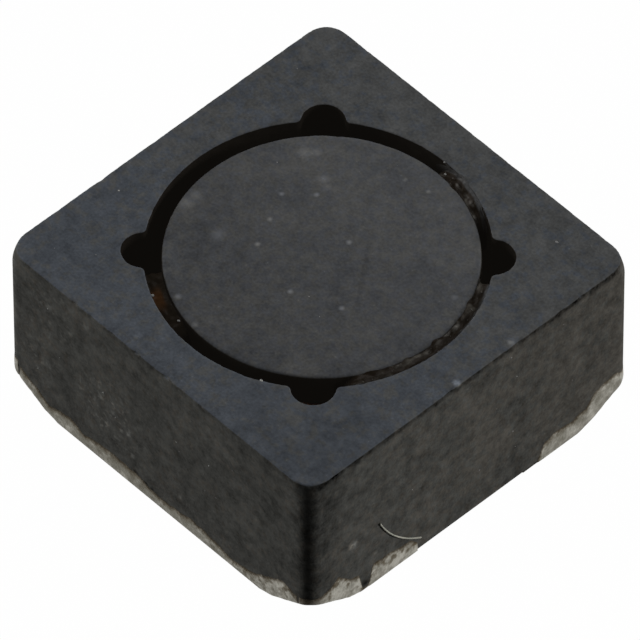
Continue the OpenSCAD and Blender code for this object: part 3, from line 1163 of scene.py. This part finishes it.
def carrier_height(radius, angle):
    """Height of the drum's top, the gap's bottom or the ring's top at a place in or beside the gap."""
    on_drum = DRUM_TOP - rounded_rim(drum_reach(angle) - radius, DRUM_BREAK)
    on_ring = RING_TOP - rounded_rim(radius - BORE_R if beside_ring(angle) else 0.0, EDGE_BREAK)
    return max(on_drum, on_ring) + LAP_FILM


print(f"the gap is {BORE_R - drum_reach(0.0):.3f} mm wide on the right")

# %% Bend a grid into the gap
BEAD_LONG_STEPS = 90
BEAD_WIDE_STEPS = 20
BEAD_DEPTH = 0.2
BEAD_TAIL = 0.3
BEAD_TAIL_DROP = 0.35
LAP = 0.065


def bead_lap(angle, seed):
    """How far the resin laps over a rim of the gap, which it does only here and there."""
    spot = Vector((angle * BORE_R, seed, 0))
    return LAP * max(0.0, noise.noise(spot * 4.0) + 0.3 * noise.noise(spot * 9.0))


def bead_height(to_end, across, angle, level, slope):
    """Height of the resin: lumpy, rising by slope towards the ring, and low at its ends."""
    spot = Vector((angle * BORE_R, across * 0.1, 0))
    lumps = 0.03 * noise.noise(spot * 5.0) + 0.02 * noise.noise(spot * 15.0)
    tail = max(0.0, 1 - to_end / BEAD_TAIL)
    return RING_TOP - level + slope * across + lumps - BEAD_TAIL_DROP * tail ** 2


def resin_bead(middle, span, level, slope, laps):
    """One bead. Where laps is 0 it stays between the drum and the ring."""
    bm = bmesh.new()
    bmesh.ops.create_grid(bm, x_segments=BEAD_LONG_STEPS, y_segments=BEAD_WIDE_STEPS, size=1)
    half_turn = math.radians(span) / 2
    for vertex in bm.verts:
        along, across = vertex.co.xy
        angle = math.radians(middle) + along * half_turn
        to_end = (1 - abs(along)) * half_turn * BORE_R
        thins = laps * min(1.0, to_end / BEAD_TAIL)
        near = drum_reach(angle) - max(BEDDING, thins * bead_lap(angle, 0.0))
        far = BORE_R + max(BEDDING, thins * beside_ring(angle) * bead_lap(angle, 7.0))
        radius = near + (far - near) * (across + 1) / 2
        height = bead_height(to_end, across, angle, level, slope)
        height = max(height, carrier_height(radius, angle)) if laps else height
        vertex.co = (radius * math.cos(angle), radius * math.sin(angle), height)
    made = bmesh.ops.extrude_face_region(bm, geom=bm.faces[:], use_keep_orig=True)
    bmesh.ops.translate(bm, verts=vertices(made["geom"]), vec=(0, 0, -BEAD_DEPTH))
    face_outward(bm)
    return bm


for place, middle, span, level, slope, laps, node in (
    ("back", 78, 32, 0.05, 0.02, 1, "adhesive_bead_1"),
    ("right", 1.5, 79, 0.07, -0.02, 1, "adhesive_bead_2"),
    ("left", 245.5, 39, 0.15, -0.03, 0, "adhesive_bead_3"),
):
    bead = resin_bead(middle, span, level, slope, laps)
    finish_piece(bead, "resin_bead_" + place, adhesive, "adhesive", node)

# %% [markdown]
# ## Winding and solder
# The wire and the solder in the notches are already right in the frame, so those nodes stay and only
# get their finish: copper under a clear red-brown enamel, and the dull grey of hand solder.

# %% Copper and solder materials
COPPER = (0.42, 0.16, 0.07, 1)
COPPER_DARK = (0.20, 0.07, 0.03, 1)
SOLDER = (0.26, 0.26, 0.25, 1)
SOLDER_DULL = (0.12, 0.12, 0.115, 1)


def metal(name, dark, light, roughness, glow):
    """A metal in two clouded colours, with a faint painted glow for the light bounced about where it lies.
    """
    material, graph, place = new_material(name)
    cloud = graph.clouds(place, 0.2, 3.0)
    fine = graph.clouds(place, 0.05)
    graph.principled({
        "Base Color": graph.mix(cloud.step(0.35, 0.65), dark, light),
        "Metallic": 0.9,
        "Roughness": roughness + (fine - 0.5) * 0.2,
        # Painted glow, for the light bounced about in the gap.
        "Emission Color": glow,
        "Emission Strength": 0.8,
        "Normal": graph.bump(fine, 0.004),
    })
    return material


def dress(node, material):
    """Gives a node of the frame its finish."""
    materials = bpy.data.objects[node].data.materials
    materials.clear()
    materials.append(material)
    print(f"{node}: {material.name}")


enamelled_copper = metal("enamelled_copper", COPPER_DARK, COPPER, 0.3, GAP_GLOW)
solder_metal = metal("solder_metal", SOLDER_DULL, SOLDER, 0.38, BLACK)
dress("winding", enamelled_copper)
for node in ("start_solder", "finish_solder"):
    dress(node, solder_metal)

# %% [markdown]
# ## Dust and a fibre
# The part has been handled. Pale specks lie on its top and cling to its walls, and one textile fibre
# sticks to the right-hand side. Each speck is a flattened, lumpy ball of eighty faces.

# %% Dust material
DUST_PALE = (0.20, 0.20, 0.19, 1)
DUST_GREY = (0.10, 0.10, 0.10, 1)
FIBRE_PALE = (0.28, 0.27, 0.23, 1)
FIBRE_GREY = (0.20, 0.20, 0.17, 1)


def dust(name, dark, light):
    """A dull, clouded material."""
    material, graph, place = new_material(name)
    cloud = graph.clouds(place, 0.3)
    graph.principled({
        "Base Color": graph.mix(cloud.step(0.35, 0.65), dark, light),
        "Roughness": 0.7 + cloud * 0.2,
        "Specular IOR Level": 0.2,
    })
    return material


pale_dust = dust("pale_dust", DUST_GREY, DUST_PALE)
fibre_cream = dust("fibre_cream", FIBRE_GREY, FIBRE_PALE)
print("dust materials made")

# %% Where the specks are
TOP_SPECKS = [
    (1.80, 2.15, RING_TOP, 0.022), (-2.32, -1.04, RING_TOP, 0.014), (-0.01, 2.057, 2.468, 0.016),
    (0.965, -1.825, RING_TOP, 0.022), (0.093, 1.970, 2.408, 0.018), (-0.447, -1.827, 2.357, 0.022),
    (-0.962, -1.764, 2.317, 0.024),
]
FRONT_SPECKS = [
    (-1.87, 1.97, 0.014), (0.89, 1.50, 0.016), (-0.93, 1.26, 0.014), (0.82, 0.99, 0.012),
    (-2.07, 0.72, 0.012), (-0.72, 0.98, 0.014),
]
RIGHT_SPECKS = [(0.14, 0.65, 0.012), (0.68, 0.92, 0.012)]
DUST_SEED = 7
STRAY_TOP = 12
STRAY_SIDE = 7
listed = len(TOP_SPECKS + FRONT_SPECKS + RIGHT_SPECKS)
print(f"{listed} listed specks, and up to {STRAY_TOP + 4 * STRAY_SIDE} stray ones")

# %% Specks
FLATNESS = 0.35
NARROWNESS = 0.75
SPECK_LUMP = 0.004
LUMPS_PER_MM = 90.0


def add_speck(bm, place, normal, radius):
    """One flattened ball that rests on a face."""
    lie = normal.to_track_quat("Z", "Y").to_matrix().to_4x4()
    shape = Matrix.Diagonal((radius, NARROWNESS * radius, FLATNESS * radius, 1))
    bmesh.ops.create_icosphere(
        bm, subdivisions=2, radius=1.0, matrix=Matrix.Translation(place) @ lie @ shape)


def add_stray_speck(bm, x, y, radius):
    """A speck on the drum or on the ring. The gap and the notches between them catch none."""
    if math.hypot(x - DRUM_AXIS.x, y - DRUM_AXIS.y) < DRUM_R - DRUM_BREAK:
        add_speck(bm, Vector((x, y, DRUM_TOP)), UP, radius)
    elif math.hypot(x, y) > BORE_R + NOTCH_R:
        add_speck(bm, Vector((x, y, RING_TOP)), UP, radius)


def add_wall_speck(bm, turn, along, height, radius):
    """A speck on the wall that faces turn degrees from +X."""
    normal = turned(Vector((1, 0, 0)), turn)
    place = HALF_SIDE * normal + along * turned(normal, 90) + height * UP
    add_speck(bm, place, normal, radius)


def stray_specks(bm):
    """Finer dust all over, scattered by a fixed seed."""
    stray = random.Random(DUST_SEED)
    for _ in range(STRAY_TOP):
        x = stray.uniform(-2.5, 2.5)
        y = stray.uniform(-2.5, 2.5)
        add_stray_speck(bm, x, y, stray.uniform(0.005, 0.010))
    for turn in (-90, 0, 90, 180):
        for _ in range(STRAY_SIDE):
            along = stray.uniform(-2.2, 2.2)
            height = stray.uniform(0.5, 2.3)
            add_wall_speck(bm, turn, along, height, stray.uniform(0.006, 0.012))


bm = bmesh.new()
for x, y, z, radius in TOP_SPECKS:
    add_speck(bm, Vector((x, y, z)), UP, radius)
for x, z, radius in FRONT_SPECKS:
    add_wall_speck(bm, -90, x, z, radius)
for y, z, radius in RIGHT_SPECKS:
    add_wall_speck(bm, 0, y, z, radius)
stray_specks(bm)
noise.seed_set(DUST_SEED)
for vertex in bm.verts:
    vertex.co += SPECK_LUMP * noise.noise_vector(vertex.co * LUMPS_PER_MM)
finish_piece(bm, "dust_specks", pale_dust, "adhesive")

# %% Fibre
FIBRE_CENTRE = Vector((HALF_SIDE + 0.010, 0.06, 1.61))
FIBRE_BEND_R = 1.645
FIBRE_R = 0.011
FIBRE_FROM = -159
FIBRE_TO = -122
FIBRE_SIDES = 10
FIBRE_STEPS = 60


def fibre():
    """A thin round section, swept along an arc on the right-hand wall."""
    bm = bmesh.new()
    bmesh.ops.create_circle(bm, cap_ends=False, segments=FIBRE_SIDES, radius=FIBRE_R)
    start = Matrix.Rotation(math.radians(FIBRE_FROM), 4, "X")
    place = Matrix.Translation(FIBRE_CENTRE) @ start @ Matrix.Translation((0, FIBRE_BEND_R, 0))
    bmesh.ops.transform(bm, matrix=place, verts=bm.verts)
    bmesh.ops.spin(
        bm, geom=everything(bm), cent=FIBRE_CENTRE, axis=(1, 0, 0),
        angle=math.radians(FIBRE_TO - FIBRE_FROM), steps=FIBRE_STEPS, use_duplicate=False)
    bmesh.ops.holes_fill(bm, edges=[e for e in bm.edges if e.is_boundary], sides=0)
    face_outward(bm)
    return bm


finish_piece(fibre(), "textile_fibre", fibre_cream, "adhesive")
